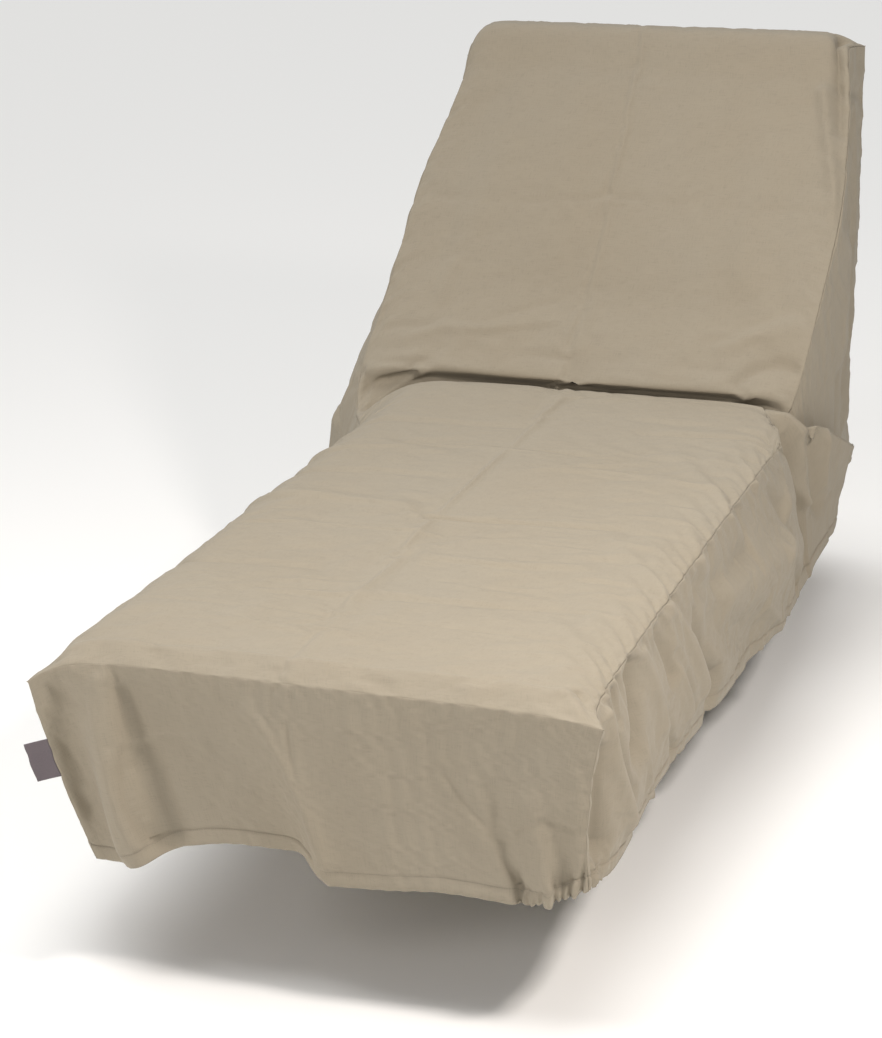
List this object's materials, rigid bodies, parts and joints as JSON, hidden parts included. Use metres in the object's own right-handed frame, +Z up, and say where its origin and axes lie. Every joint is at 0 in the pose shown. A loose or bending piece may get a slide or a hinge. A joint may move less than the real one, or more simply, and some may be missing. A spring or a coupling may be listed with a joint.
{
  "type": "lounge chair cover",
  "caption": "Fitted cloth cover draped over a reclined lounge chair: level seat, groove, raised back, hanging sides with a gathered corner and a plain sewn tab.",
  "frame": {"origin": "underside of the cloth in the middle of the seat, where the seat of the covered chair carries the cover", "axes": "+Z up, +Y along the cover from the foot end to the raised head end, +X to the right as seen from the foot end"},
  "size_m": [0.9161, 1.9664, 0.8339],
  "materials": {
    "cover_cloth": "matte plain-woven polyester, taupe",
    "tab_ribbon": "satin ribbon, plum grey"
  },
  "bodies": {
    "root": {"top_panel": "cover_cloth", "side_panel_right": "cover_cloth", "side_panel_left": "cover_cloth", "foot_panel": "cover_cloth", "back_panel": "cover_cloth", "label_tab": "tab_ribbon"}
  },
  "joints": []
}
